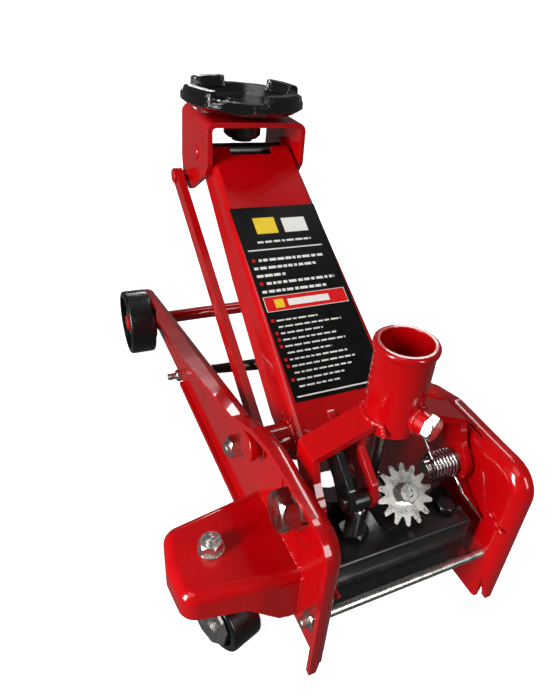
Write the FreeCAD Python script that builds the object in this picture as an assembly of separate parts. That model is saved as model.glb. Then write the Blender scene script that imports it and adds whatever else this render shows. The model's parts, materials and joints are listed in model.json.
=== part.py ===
import FreeCAD, Part
import math
import os

# Hydraulic floor jack. Millimetres, +Z up, +Y towards the lifting end, X across.
# Y and Z below are measured from the yoke pivot axis and the floor; save() moves every
# piece so that the row origin is on the floor under the middle of the bounding box.
V = FreeCAD.Vector
X_AXIS = V(1, 0, 0)
Y_AXIS = V(0, 1, 0)
Z_AXIS = V(0, 0, 1)

# Overall layout
MIDDLE_Y = 214.75       # middle of the box, ahead of the yoke pivot axis
YOKE_Z = 138.0          # yoke pivot axis, at Y 0
ARM_Y, ARM_Z = 75.0, 136.0
ARM_LENGTH = 317.0
REST_ANGLE = 30.5       # lift arm above the horizontal as drawn
LINK_DY, LINK_DZ = 42.0, -38.0      # link pins from the arm pins
AXLE_Y, AXLE_Z = 452.0, 42.5
HEAD_Y = ARM_Y + ARM_LENGTH * math.cos(math.radians(REST_ANGLE))
HEAD_Z = ARM_Z + ARM_LENGTH * math.sin(math.radians(REST_ANGLE))

# Side plates
PLATE_OUT = 79.0
PLATE_T = 5.0
PLATE_IN = PLATE_OUT - PLATE_T
FLANGE_T = 5.0
FLANGE_EDGE = [         # flange edge from the middle plane, at Y along the plate
    (89.0, -70.0), (89.0, -30.0), (92.5, 94.0), (97.0, 175.0),
    (100.0, 245.0), (98.0, 370.0), (89.0, 412.0), (89.0, 500.0),
]
BEND_R, BEND_INNER_R = 11.0, 3.0    # outer and inner radius of the flange's bend
LIP_OUT = 85.0          # narrow lip along the plate's lower edge
LIP_REAR, LIP_FRONT = -15.0, 318.0
WASHER_SEAT = 1.2       # shallow round seat for the yoke bolt's washer
PLATE_BOTTOM = 24.0
PLATE_REAR = -65.0
TIP_Y, TIP_Z = 489.0, 70.5
TIE_BOLT_Y, TIE_BOLT_Z = 330.0, 30.0
TIE_ROD_Y, TIE_ROD_Z = -50.8, 75.0
TIE_ROD_R, TIE_BOLT_R = 4.0, 4.0

# Fasteners: hexagons by width across flats, washers by radius, nuts and ends by length
TIE_ROD_FLATS, TIE_ROD_NUT, TIE_ROD_END = 15.0, 8.0, 15.0
TIE_ROD_WASHER_R, TIE_ROD_WASHER_T = 7.0, 1.6
TIE_BOLT_FLATS, TIE_BOLT_NUT, TIE_BOLT_END = 13.0, 7.0, 17.0
LINK_FLATS, LINK_NUT, LINK_BOLT_END = 19.0, 10.0, 16.0
LINK_WASHER_R, LINK_WASHER_T, LINK_SPACER_R = 10.5, 2.8, 10.0
LINK_HEAD_T = 2.2
KING_BOLT_R, KING_FLATS, KING_NUT, KING_BOLT_END = 5.0, 17.0, 9.0, 15.0
KING_HEAD_FLATS, KING_HEAD_LOW, KING_HEAD_TOP = 16.0, 56.0, 62.0
KING_WASHER_R, KING_WASHER_T, KING_SLEEVE_R = 10.5, 2.0, 8.0
YOKE_FLATS = 30.0
YOKE_WASHER_R, YOKE_SPACER_R, YOKE_SPLIT = 16.5, 15.0, 1.2
YOKE_TAIL_R = 7.0
RIGHT_TAIL_X, LEFT_TAIL_X = 33.0, 60.8      # inner ends of the yoke bolts
CLAMP_Z, CLAMP_TURN = 203.0, 20.0           # clamp bolt's height, and turn towards +X
CLAMP_FLATS, CLAMP_R, CLAMP_BOSS_R = 17.0, 5.0, 9.5
CLAMP_BOSS_END, CLAMP_HEAD = 31.0, 7.5
UNIT_BOLT_R, UNIT_FOOT_R, UNIT_BOLT_Z = 4.0, 7.5, 68.0
UNIT_BOLT_YS = (-18.0, 16.0)

# Wheels and casters
WHEEL_R = 42.5
WHEEL_IN, WHEEL_OUT = 90.5, 122.0
HUB_IN, HUB_R = 86.0, 26.0      # hub boss on the wheel's inner side
HUB_OUT = 115.0
JOURNAL_R = 10.0
CASTER_X, CASTER_Y = 136.0, 27.0
BRACKET_TOP = 84.0
BRACKET_T = 4.0
BRACKET_OUT = 168.0
CASTER_R = 25.0
CASTER_W = 27.0
CASTER_TRAIL = 24.0
CASTER_AXLE_R = 4.0
FORK_TOP, FORK_T = 75.5, 2.6
CASTER_YAW = 20.0       # swivel of the casters as drawn

# Lift arm, head and links
ARM_TOP = 18.0          # top face above the line through the arm pins
ARM_T = 4.5
ARM_HALF_REAR, ARM_HALF_HEAD = 53.5, 45.0
MOUTH_S = 305.0         # end of the arm's top sheet
NOTCH_S, NOTCH_HALF = 294.0, 23.0   # notch that clears the saddle's boss
ARM_BEND_R = 6.0
PANEL_S0, PANEL_S1, PANEL_HALF, PANEL_T = 21.5, 226.0, 45.0, 0.6
SHAFT_END_R = 11.0
SHAFT_END, SHAFT_CAP_R = 92.0, 13.2     # end of the shaft and its thicker cap
SHAFT_R = 12.5
LEVER_LENGTH = 46.0
ROLLER_R = 9.0
HEAD_HALF = 52.0
HEAD_T = 5.0
HEAD_TOP = 37.5
HEAD_PIN_R = 8.0
LINK_IN, LINK_T, LINK_HALF = 56.5, 8.0, 9.0
LINK_PIN_R = 6.0
SADDLE_R = 63.5
SADDLE_DY = 6.0
SADDLE_H = 26.0
SADDLE_TURN = 22.0      # lugs stand this far round from the X axis
BOSS_R, BOSS_DROP = 19.5, 19.0

# Handle yoke
SOCKET_Y = 13.7
SOCKET_TOP, SOCKET_BOTTOM = 259.0, 188.0
SOCKET_R, SOCKET_BORE_R, SOCKET_RIM_R = 22.4, 19.0, 24.2
YOKE_ARM_IN, YOKE_ARM_T = 63.7, 6.0
YOKE_SHOULDER_Z, STRAP_CROWN_Z = 178.0, 198.0
YOKE_BOLT_R = 10.0
YOKE_WASHER_T, YOKE_HEAD_T = 5.0, 14.5
STRAP_Y0, STRAP_Y1 = 3.0, 28.0
SPRING_X = 38.0         # return springs, from the middle plane

# Hydraulic unit
PUMP_X, PUMP_Y = -38.0, -16.0
PUMP_ROLLER_Z, PUMP_ROLLER_R = 146.0, 7.0
PUMP_BLOCK_TOP = 112.0
PUMP_R = 6.3
RAM_Z = 95.0
RAM_R = 13.5
CYLINDER_R = 23.0
RAM_LENGTH = 62.0
RAM_GAP = 1.5           # between the ram's face and the roller as drawn
CYLINDER_REAR, CYLINDER_FRONT = -28.0, 28.0
UNIT_LEFT, UNIT_RIGHT = -62.0, 58.0
UNIT_REAR, UNIT_FRONT = -42.0, 30.0
UNIT_LOW, UNIT_STEP = 60.0, 76.0    # underside, and top of the part ahead of the block
BLOCK_FRONT = -2.0
SIDE_BLOCK_TOP = 124.0
COVER_LEFT, COVER_RIGHT, COVER_TOP, COVER_LOW = -60.0, -26.0, 136.0, 110.0
COVER_LENGTH = 16.0
GLAND_FLATS, GLAND_T, GLAND_R = 22.0, 5.5, 20.0
STEM_R = 3.5            # valve stem
PLUG_X, PLUG_Y, PLUG_FLATS = 44.0, -24.0, 14.0
GUIDE_X, GUIDE_Y, GUIDE_R = -3.0, 17.0, 4.0
GUIDE_LOW, GUIDE_TOP = 110.0, 172.0
CHEEK_T = 5.0
LEFT_CHEEK_X, RIGHT_CHEEK_X = -50.0, -31.0
TORSION_R, TORSION_BORE_R = 12.0, 8.4
TORSION_X0, TORSION_X1 = 38.0, 61.5
GEAR_X, GEAR_Y, GEAR_Z = 6.0, -12.6, 131.0
GEAR_TILT = 38.0        # valve stem leans back from the vertical
GEAR_TEETH = 14
GEAR_R, GEAR_ROOT_R = 24.5, 17.5

FIT = 0.03              # radial clearance of running fits
GAP = 0.4               # side clearance between bodies


def box(x0, x1, y0, y1, z0, z1):
    return Part.makeBox(x1 - x0, y1 - y0, z1 - z0, V(x0, y0, z0))


def rod(radius, start, end):
    """Cylinder between two points."""
    a, b = V(*start), V(*end)
    return Part.makeCylinder(radius, a.distanceToPoint(b), a, b - a)


def x_rod(radius, x0, x1, y, z):
    return Part.makeCylinder(radius, x1 - x0, V(x0, y, z), X_AXIS)


def tube(outer, inner, start, end):
    return rod(outer, start, end).cut(rod(inner, start, end))


def x_ring(outer, inner, x0, x1, y, z):
    return x_rod(outer, x0, x1, y, z).cut(x_rod(inner, x0, x1, y, z))


def hexagon(across_flats, start, end):
    """Hexagonal prism between two points, with its corners turned down a little."""
    a, b = V(*start), V(*end)
    height = a.distanceToPoint(b)
    corner = across_flats / math.sqrt(3)
    points = []
    for i in range(7):
        angle = math.radians(60 * i + 30)
        points.append(V(corner * math.cos(angle), corner * math.sin(angle), 0))
    prism = Part.Face(Part.makePolygon(points)).extrude(V(0, 0, height))
    turned = Part.makeCone(corner + height * 0.55, across_flats / 2 * 0.97, height)
    prism = prism.common(turned)
    prism.Placement = FreeCAD.Placement(a, FreeCAD.Rotation(Z_AXIS, b - a))
    return prism


def yz_face(points, x):
    wire = Part.makePolygon([V(x, y, z) for y, z in points + points[:1]])
    return Part.Face(wire)


def yz_prism(points, x0, x1):
    """Outline in the YZ plane, extruded across X."""
    return yz_face(points, x0).extrude(V(x1 - x0, 0, 0))


def round_edges(shape, radius, wanted):
    """Fillet the edges whose middle point passes the test."""
    edges = [e for e in shape.Edges if wanted(e, e.CenterOfMass)]
    return shape.makeFillet(radius, edges)


def along_x(edge):
    box_of = edge.BoundBox
    return box_of.YLength < 0.01 and box_of.ZLength < 0.01


def along_z(edge):
    box_of = edge.BoundBox
    return box_of.XLength < 0.01 and box_of.YLength < 0.01


def mirrored(shape):
    return shape.mirror(V(0, 0, 0), X_AXIS)


def both(shape):
    """The right-hand piece and its left-hand twin, as separate solids of one node."""
    return Part.Compound([shape, mirrored(shape)])


def fused(shapes):
    return shapes[0].multiFuse(shapes[1:]).removeSplitter()


def save(node, shape):
    moved = shape.copy()
    moved.translate(V(0, -MIDDLE_Y, 0))
    moved.exportStep("parts/" + node + ".step")


def arm_point(s, n):
    """Point s along the lift arm from its pivot and n above the pin line."""
    angle = math.radians(REST_ANGLE)
    y = ARM_Y + s * math.cos(angle) - n * math.sin(angle)
    z = ARM_Z + s * math.sin(angle) + n * math.cos(angle)
    return y, z


# ---------------------------------------------------------------- side plates

def plate_outline():
    """Rear edge, high rear shoulder, hump over the arm shaft, long straight slope."""
    return [
        (PLATE_REAR, PLATE_BOTTOM),
        (PLATE_REAR, 167.0),
        (-38.0, 169.0),
        (36.0, 169.0),
        (68.0, 161.0),
        (104.0, 144.5),
        (TIP_Y, TIP_Z),
        (TIP_Y, PLATE_BOTTOM),
    ]


def side_plate():
    """Right-hand plate: flat web with a flange bent outwards along its rear and top."""
    widest = max(x for x, _ in FLANGE_EDGE)
    solid = yz_prism(plate_outline(), PLATE_IN, widest)
    solid = round_edges(solid, 24.0, lambda e, c: along_x(e) and c.y < -60 and c.z > 150)
    solid = round_edges(
        solid, 18.0, lambda e, c: along_x(e) and (c.y > 480 and c.z < 40 or 20 < c.y < 110)
    )
    web_face = [f for f in solid.Faces if abs(f.CenterOfMass.x - PLATE_IN) < 0.01][0]
    hollow = web_face.makeOffset2D(-FLANGE_T).extrude(V(60, 0, 0))
    hollow = round_edges(
        hollow, BEND_INNER_R,
        lambda e, c: abs(c.x - PLATE_IN) < 0.01 and c.z > PLATE_BOTTOM + 2 * FLANGE_T and c.y < TIP_Y - 10,
    )
    hollow.translate(V(PLATE_T, 0, 0))
    solid = round_edges(
        solid, BEND_R,
        lambda e, c: abs(c.x - PLATE_IN) < 0.01 and c.z > PLATE_BOTTOM + 1 and c.y < TIP_Y - 10,
    )
    solid = solid.cut(hollow)
    for cutter in plate_trims():
        solid = solid.cut(cutter)
    for radius, y, z in (
        (YOKE_BOLT_R, 0, YOKE_Z),
        (SHAFT_R + FIT, ARM_Y, ARM_Z),
        (LINK_PIN_R, ARM_Y + LINK_DY, ARM_Z + LINK_DZ),
        (JOURNAL_R, AXLE_Y, AXLE_Z),
        (TIE_BOLT_R, TIE_BOLT_Y, TIE_BOLT_Z),
        (TIE_ROD_R, TIE_ROD_Y, TIE_ROD_Z),
    ):
        solid = solid.cut(x_rod(radius, PLATE_IN - 1, PLATE_OUT + 1, y, z))
    return solid


def plate_trims():
    """What is cut from the bent plate: flange edge, lower lip, front opening, rear corner."""
    low, high = PLATE_BOTTOM - 1, PLATE_BOTTOM + FLANGE_T + 1
    rear, front = PLATE_REAR + FLANGE_T, TIP_Y - FLANGE_T
    outside = 130.0
    edge = [V(x, y, 0) for x, y in FLANGE_EDGE]
    edge += [V(outside, edge[-1].y, 0), V(outside, edge[0].y, 0), edge[0]]
    corner = [
        V(PLATE_IN - 1, PLATE_REAR - 1, 62), V(PLATE_IN + 9, PLATE_REAR - 1, low),
        V(PLATE_IN - 1, PLATE_REAR - 1, low), V(PLATE_IN - 1, PLATE_REAR - 1, 62),
    ]
    return [
        Part.Face(Part.makePolygon(edge)).extrude(V(0, 0, 200)),
        box(LIP_OUT, outside, rear, front, low, high),
        box(PLATE_OUT, outside, rear, LIP_REAR, low, high),
        box(PLATE_OUT, outside, LIP_FRONT, front, low, high),
        box(PLATE_OUT, outside, TIP_Y - 40, TIP_Y + 5, 0, 64),
        Part.Face(Part.makePolygon(corner)).extrude(V(0, 7, 0)),
        x_rod(30, PLATE_OUT - WASHER_SEAT, PLATE_OUT + 1, 0, YOKE_Z),
    ]


def caster_bracket():
    """Pressed cover that carries a caster outside the plate, open underneath."""
    rear_in, rear_out = -21.0, -10.0
    front_in, front_out = 76.0, 60.0
    corners = [
        (PLATE_OUT, rear_in),
        (BRACKET_OUT, rear_out),
        (BRACKET_OUT + 4, 25.0),
        (BRACKET_OUT - 2, front_out),
        (PLATE_OUT, front_in),
    ]
    skirt = 50.0
    low = BRACKET_TOP - skirt

    def shell(inset, top):
        inward = [
            (PLATE_OUT - 1, rear_in + inset),
            (BRACKET_OUT - inset, rear_out + inset),
            (BRACKET_OUT + 4 - inset, 25.0),
            (BRACKET_OUT - 2 - inset, front_out - inset),
            (PLATE_OUT - 1, front_in - inset),
        ]
        points = corners if inset == 0 else inward
        wire = Part.makePolygon([V(x, y, low) for x, y in points + points[:1]])
        body = Part.Face(wire).extrude(V(0, 0, top - low))
        body = round_edges(
            body, max(14.0 - inset, 6.0), lambda e, c: along_z(e) and c.x > PLATE_OUT + 30
        )
        return round_edges(
            body, 9.0 - inset,
            lambda e, c: abs(c.z - top) < 0.01 and c.x > PLATE_OUT + 0.5,
        )

    outer = shell(0.0, BRACKET_TOP)
    inner = shell(BRACKET_T, BRACKET_TOP - BRACKET_T)
    inner.translate(V(0, 0, -0.001))
    body = outer.cut(inner)
    # the skirt is cut away in a slope and an arch so that the caster can swivel
    slope = Part.makePolygon([
        V(PLATE_OUT + 14, -60, low - 1),
        V(BRACKET_OUT - 48, -60, BRACKET_TOP - 29),
        V(BRACKET_OUT + 20, -60, BRACKET_TOP - 22),
        V(BRACKET_OUT + 20, -60, low - 1),
        V(PLATE_OUT + 14, -60, low - 1),
    ])
    body = body.cut(Part.Face(slope).extrude(V(0, 200, 0)))
    return body.cut(rod(5, (CASTER_X, CASTER_Y, low), (CASTER_X, CASTER_Y, BRACKET_TOP + 1)))


def front_axle():
    """Bar between the plates with a thicker journal at each end for the wheel."""
    bar = x_rod(8.5, -PLATE_IN + 4, PLATE_IN - 4, AXLE_Y, AXLE_Z)
    journal = x_rod(JOURNAL_R, PLATE_IN - 5, WHEEL_OUT - 1, AXLE_Y, AXLE_Z)
    journal = journal.makeChamfer(1.0, [e for e in journal.Edges if e.CenterOfMass.x > HUB_OUT + 3])
    collar = x_rod(14.0, PLATE_OUT, HUB_IN - GAP, AXLE_Y, AXLE_Z)
    end = journal.fuse(collar)
    return fused([bar, end, mirrored(end)])


def axle_washers():
    return both(x_ring(17.5, JOURNAL_R, HUB_OUT + GAP, HUB_OUT + 2.6, AXLE_Y, AXLE_Z))


def front_wheel():
    """Right-hand wheel: deep recess outside, solid web and a wide boss inside."""
    y, z = AXLE_Y, AXLE_Z
    rim = x_ring(WHEEL_R, WHEEL_R - 7, WHEEL_IN, WHEEL_OUT, y, z)
    rim = round_edges(rim, 3.0, lambda e, c: e.BoundBox.YLength > 2 * WHEEL_R - 1)
    web = x_ring(WHEEL_R - 6, 12, WHEEL_IN + 1, HUB_OUT - 5, y, z)
    hub = x_ring(17, JOURNAL_R + FIT, WHEEL_IN + 2, HUB_OUT, y, z)
    boss = x_ring(HUB_R, JOURNAL_R + FIT, HUB_IN, WHEEL_IN + 2, y, z)
    hub = hub.makeFillet(1.5, [e for e in hub.Edges if e.BoundBox.YLength > 33])
    wheel = fused([rim, web, hub, boss])
    return wheel.cut(x_rod(JOURNAL_R + FIT, HUB_IN - 1, WHEEL_OUT, y, z))


# ------------------------------------------------------------------- fasteners

def rear_tie_rod():
    end = PLATE_OUT + TIE_ROD_END
    return x_rod(TIE_ROD_R, -end, end, TIE_ROD_Y, TIE_ROD_Z)


def nut_on_x(across, radius, x0, x1, y, z):
    return hexagon(across, (x0, y, z), (x1, y, z)).cut(x_rod(radius, x0 - 1, x1 + 1, y, z))


def tie_rod_nuts():
    x0 = PLATE_OUT + TIE_ROD_WASHER_T
    washer = x_ring(TIE_ROD_WASHER_R, TIE_ROD_R, PLATE_OUT, x0, TIE_ROD_Y, TIE_ROD_Z)
    nut = nut_on_x(TIE_ROD_FLATS, TIE_ROD_R, x0, x0 + TIE_ROD_NUT, TIE_ROD_Y, TIE_ROD_Z)
    return Part.Compound([washer, nut, mirrored(washer), mirrored(nut)])


def front_tie_bolt():
    end = PLATE_OUT + TIE_BOLT_END
    return x_rod(TIE_BOLT_R, -end, end, TIE_BOLT_Y, TIE_BOLT_Z)


def tie_bolt_nuts():
    y, z, tall = TIE_BOLT_Y, TIE_BOLT_Z, TIE_BOLT_NUT
    nut = nut_on_x(TIE_BOLT_FLATS, TIE_BOLT_R, PLATE_OUT, PLATE_OUT + tall, y, z)
    lock = nut_on_x(TIE_BOLT_FLATS, TIE_BOLT_R, PLATE_IN - tall, PLATE_IN, y, z)
    return Part.Compound([nut, lock, mirrored(nut), mirrored(lock)])


def yoke_bolt(inner_end):
    """Large bolt through the plate; the yoke arm turns on its shank."""
    head_x = PLATE_OUT - WASHER_SEAT + YOKE_WASHER_T
    head = hexagon(YOKE_FLATS, (head_x, 0, YOKE_Z), (head_x + YOKE_HEAD_T, 0, YOKE_Z))
    step_x = YOKE_ARM_IN - 1.7
    shank = x_rod(YOKE_BOLT_R, step_x, head_x + 1, 0, YOKE_Z)
    tail = x_rod(YOKE_TAIL_R, inner_end, step_x + 1, 0, YOKE_Z)
    return fused([head, shank, tail])


def yoke_bolts():
    return Part.Compound([yoke_bolt(RIGHT_TAIL_X), mirrored(yoke_bolt(LEFT_TAIL_X))])


def yoke_lock_washers():
    """Split spring washers under the two big heads."""
    x0 = PLATE_OUT - WASHER_SEAT
    x1 = x0 + YOKE_WASHER_T
    ring = x_ring(YOKE_WASHER_R, YOKE_BOLT_R, x0, x1, 0, YOKE_Z)
    split = box(
        x0 - 1, x1 + 1, -YOKE_WASHER_R - 1, -YOKE_BOLT_R + 1, YOKE_Z - YOKE_SPLIT, YOKE_Z + YOKE_SPLIT,
    )
    return both(ring.cut(split))


def yoke_spacers():
    return both(x_ring(YOKE_SPACER_R, YOKE_BOLT_R, YOKE_ARM_IN + YOKE_ARM_T + GAP, PLATE_IN, 0, YOKE_Z))


def link_bolts():
    y, z = ARM_Y + LINK_DY, ARM_Z + LINK_DZ
    shank = x_rod(LINK_PIN_R, LINK_IN - 1, PLATE_OUT + LINK_BOLT_END, y, z)
    head = hexagon(LINK_FLATS, (LINK_IN - 1, y, z), (LINK_IN - 1 - LINK_HEAD_T, y, z))
    spacer = x_ring(LINK_SPACER_R, LINK_PIN_R - 0.5, LINK_IN + LINK_T + GAP, PLATE_IN, y, z)
    return both(fused([shank, head, spacer]))


def link_nuts():
    y, z = ARM_Y + LINK_DY, ARM_Z + LINK_DZ
    x0 = PLATE_OUT + LINK_WASHER_T
    washer = x_ring(LINK_WASHER_R, LINK_PIN_R, PLATE_OUT, x0, y, z)
    nut = nut_on_x(LINK_FLATS, LINK_PIN_R, x0, x0 + LINK_NUT, y, z)
    return Part.Compound([washer, nut, mirrored(washer), mirrored(nut)])


def caster_bolts():
    """King bolts: head under the fork, threaded end up through the bracket."""
    x, y = CASTER_X, CASTER_Y
    shank = rod(KING_BOLT_R, (x, y, KING_HEAD_LOW + 0.5), (x, y, BRACKET_TOP + KING_BOLT_END))
    head = hexagon(KING_HEAD_FLATS, (x, y, KING_HEAD_TOP), (x, y, KING_HEAD_LOW))
    sleeve = rod(KING_SLEEVE_R, (x, y, FORK_TOP + 0.5), (x, y, BRACKET_TOP - BRACKET_T))
    return both(fused([shank, head, sleeve]))


def caster_nuts():
    x, y = CASTER_X, CASTER_Y
    z0 = BRACKET_TOP + KING_WASHER_T
    washer = tube(KING_WASHER_R, KING_BOLT_R, (x, y, BRACKET_TOP), (x, y, z0))
    nut = hexagon(KING_FLATS, (x, y, z0), (x, y, z0 + KING_NUT))
    nut = nut.cut(rod(KING_BOLT_R, (x, y, BRACKET_TOP), (x, y, z0 + KING_NUT + 1)))
    return Part.Compound([washer, nut, mirrored(washer), mirrored(nut)])


# --------------------------------------------------------------------- casters

def caster_local(shape):
    """Place a caster piece, drawn trailing to -Y under the origin, on the right side."""
    shape.rotate(V(0, 0, 0), Z_AXIS, -CASTER_YAW)
    shape.translate(V(CASTER_X, CASTER_Y, 0))
    return shape


def caster_fork():
    """Bent plate with two broad cheeks that cover most of the wheel's sides."""
    half = CASTER_W / 2 + 1.5
    plate = box(-half - FORK_T, half + FORK_T, -16, 14, FORK_TOP - 3, FORK_TOP)
    plate = round_edges(plate, 9, lambda e, c: along_z(e))
    y, z = -CASTER_TRAIL, CASTER_R
    outline = [
        (14, FORK_TOP), (-16, FORK_TOP), (-18, 60), (y - 12, 44), (y - 17, 34), (y - 15, 20),
        (y, 5), (y + 14, 7), (6, 24),
    ]
    side = yz_prism(outline, half, half + FORK_T)
    side = round_edges(side, 5, lambda e, c: along_x(e) and c.z < FORK_TOP - 5)
    fork = fused([plate, side, mirrored(side)])
    fork = fork.cut(rod(5 + FIT, (0, 0, FORK_TOP - 5), (0, 0, FORK_TOP + 1)))
    fork = fork.cut(x_rod(CASTER_AXLE_R, -half - FORK_T - 1, half + FORK_T + 1, y, z))
    return caster_local(fork)


def caster_axle():
    half = CASTER_W / 2 + 1.5 + FORK_T
    pin = x_rod(CASTER_AXLE_R, -half - 1.5, half + 1.5, -CASTER_TRAIL, CASTER_R)
    cap = x_rod(6, half, half + 2, -CASTER_TRAIL, CASTER_R)
    return caster_local(fused([pin, cap, mirrored(cap)]))


def caster_wheel():
    half = CASTER_W / 2
    y, z = -CASTER_TRAIL, CASTER_R
    rim = x_ring(CASTER_R, CASTER_R - 6, -half, half, y, z)
    rim = round_edges(rim, 2.5, lambda e, c: e.BoundBox.YLength > 2 * CASTER_R - 1)
    web = x_ring(CASTER_R - 5, 6, -7, 7, y, z)
    hub = x_ring(8.5, CASTER_AXLE_R + FIT, -half - 0.8, half + 0.8, y, z)
    wheel = fused([rim, web, hub])
    return caster_local(wheel.cut(x_rod(CASTER_AXLE_R + FIT, -half - 2, half + 2, y, z)))


# -------------------------------------------------------------- hydraulic unit

def unit_base():
    """Cast base and valve block of the hydraulic unit, with a slanted cover on its left."""
    base = box(UNIT_LEFT, UNIT_RIGHT, UNIT_REAR, UNIT_FRONT, UNIT_LOW, UNIT_STEP)
    rear = box(UNIT_LEFT, UNIT_RIGHT, UNIT_REAR, BLOCK_FRONT, UNIT_STEP - 6, PUMP_BLOCK_TOP)
    side_block = box(
        COVER_LEFT + 2, COVER_RIGHT - 1, BLOCK_FRONT + 1, 20, UNIT_STEP - 6, SIDE_BLOCK_TOP,
    )
    corners = [
        (COVER_LEFT, COVER_TOP - 4), (COVER_LEFT + 4, COVER_TOP), (COVER_RIGHT, SIDE_BLOCK_TOP),
        (COVER_RIGHT, COVER_LOW), (COVER_LEFT, COVER_LOW), (COVER_LEFT, COVER_TOP - 4),
    ]
    edge = Part.makePolygon([V(x, BLOCK_FRONT, z) for x, z in corners])
    cover = Part.Face(edge).extrude(V(0, COVER_LENGTH, 0))
    body = fused([base, rear])
    body = round_edges(body, 3, lambda e, c: along_x(e) and c.y < -40)
    boss = valve_rod(8.5, 4.5, 26)
    body = fused([body, side_block, cover, boss])
    body = body.cut(rod(CYLINDER_R, (0, CYLINDER_REAR, RAM_Z), (0, 60, RAM_Z)))
    body = body.cut(rod(PUMP_R + FIT, (PUMP_X, PUMP_Y, 80), (PUMP_X, PUMP_Y, 130)))
    return body.cut(valve_rod(STEM_R + FIT, 2, 12))


def valve_rod(radius, start, end):
    """Cylinder on the valve stem's axis, measured down from the gear."""
    tilt = math.radians(GEAR_TILT)
    down = V(0, math.sin(tilt), -math.cos(tilt))
    return Part.makeCylinder(radius, end - start, V(GEAR_X, GEAR_Y, GEAR_Z) + down * start, down)


def ram_cylinder():
    return tube(CYLINDER_R, RAM_R + FIT, (0, CYLINDER_REAR, RAM_Z), (0, CYLINDER_FRONT, RAM_Z))


def gland_ring():
    """Wiper ring screwed on the open end of the cylinder."""
    return tube(GLAND_R, RAM_R + FIT, (0, CYLINDER_FRONT, RAM_Z), (0, CYLINDER_FRONT + 4, RAM_Z))


def pump_gland():
    """Gland nut that holds the pump's seal."""
    top = PUMP_BLOCK_TOP
    nut = hexagon(GLAND_FLATS, (PUMP_X, PUMP_Y, top), (PUMP_X, PUMP_Y, top + GLAND_T))
    return nut.cut(rod(PUMP_R + FIT, (PUMP_X, PUMP_Y, top - 1), (PUMP_X, PUMP_Y, top + GLAND_T + 1)))


def pump_plunger():
    """Bright piston under the yoke's roller."""
    top = PUMP_ROLLER_Z - PUMP_ROLLER_R - 0.6
    stem = rod(PUMP_R, (PUMP_X, PUMP_Y, 98), (PUMP_X, PUMP_Y, top))
    return stem.makeChamfer(1.0, [e for e in stem.Edges if e.CenterOfMass.z > top - 1 and e.Closed])


def valve_stem():
    return valve_rod(STEM_R, -11, 11.5)


def valve_gear():
    """Flat gear with long rounded teeth, pressed on the end of the valve stem."""
    thickness = 5.0
    wheel = Part.makeCylinder(GEAR_ROOT_R, thickness)
    for i in range(GEAR_TEETH):
        tooth = tooth_solid(thickness)
        tooth.rotate(V(0, 0, 0), Z_AXIS, 360.0 * i / GEAR_TEETH)
        wheel = wheel.fuse(tooth)
    wheel = wheel.removeSplitter().cut(Part.makeCylinder(STEM_R, 20, V(0, 0, -5)))
    wheel.Placement = FreeCAD.Placement(V(0, 0, 0), FreeCAD.Rotation(X_AXIS, GEAR_TILT))
    wheel.translate(V(GEAR_X, GEAR_Y, GEAR_Z))
    return wheel


def tooth_solid(thickness):
    root_half, tip_half = 3.4, 1.9
    root = GEAR_ROOT_R - 1.5
    flank = GEAR_R - tip_half
    arc = Part.Arc(V(flank, tip_half, 0), V(GEAR_R, 0, 0), V(flank, -tip_half, 0))
    lines = [
        Part.makeLine(V(flank, -tip_half, 0), V(root, -root_half, 0)),
        Part.makeLine(V(root, -root_half, 0), V(root, root_half, 0)),
        Part.makeLine(V(root, root_half, 0), V(flank, tip_half, 0)),
    ]
    return Part.Face(Part.Wire([arc.toShape()] + lines)).extrude(V(0, 0, thickness))


def gear_nut():
    tilt = math.radians(GEAR_TILT)
    up = V(0, -math.sin(tilt), math.cos(tilt))
    start = V(GEAR_X, GEAR_Y, GEAR_Z) + up * 5.0
    end = start + up * 7.5
    return hexagon(15, tuple(start), tuple(end)).cut(valve_rod(STEM_R, -16, 0))


def filler_plug():
    neck = PUMP_BLOCK_TOP + 2
    stem = rod(5, (PLUG_X, PLUG_Y, PUMP_BLOCK_TOP), (PLUG_X, PLUG_Y, neck))
    head = hexagon(PLUG_FLATS, (PLUG_X, PLUG_Y, neck), (PLUG_X, PLUG_Y, neck + 4))
    return fused([stem, head])


def unit_bolts():
    """Bolts that hold the hydraulic unit between the side plates."""
    bolts = []
    end = PLATE_IN - 0.5
    for y in UNIT_BOLT_YS:
        for x0, x1 in ((UNIT_RIGHT, end), (-end, UNIT_LEFT)):
            shank = x_rod(UNIT_BOLT_R, x0, x1, y, UNIT_BOLT_Z)
            foot = x_ring(UNIT_FOOT_R, UNIT_BOLT_R - 0.5, x0, x1, y, UNIT_BOLT_Z)
            bolts.append(fused([shank, foot]))
    return Part.Compound(bolts)


def guide_rod():
    """Bright upright rod under the handle socket."""
    upright = rod(GUIDE_R, (GUIDE_X, GUIDE_Y, GUIDE_LOW), (GUIDE_X, GUIDE_Y, GUIDE_TOP))
    return upright.cut(rod(CYLINDER_R, (0, CYLINDER_REAR, RAM_Z), (0, CYLINDER_FRONT, RAM_Z)))


# ------------------------------------------------------------------ moving ram

def roller_place():
    """Roller centre on the lever under the arm shaft, midway in its swing."""
    swing_middle = math.radians(-90.0 + REST_ANGLE - 27.75)
    y = ARM_Y + LEVER_LENGTH * math.cos(swing_middle)
    z = ARM_Z + LEVER_LENGTH * math.sin(swing_middle)
    return y, z


def ram():
    y, _ = roller_place()
    face = y - ROLLER_R - RAM_GAP
    bar = rod(RAM_R, (0, face - RAM_LENGTH, RAM_Z), (0, face, RAM_Z))
    return bar.makeChamfer(1.5, [e for e in bar.Edges if e.CenterOfMass.y > face - 1])


def ram_roller():
    y, z = roller_place()
    return x_ring(ROLLER_R, 5, -12, 12, y, z)


def roller_pin():
    y, z = roller_place()
    return x_rod(5, -21, 21, y, z)


# --------------------------------------------------------- lift arm and links

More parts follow.
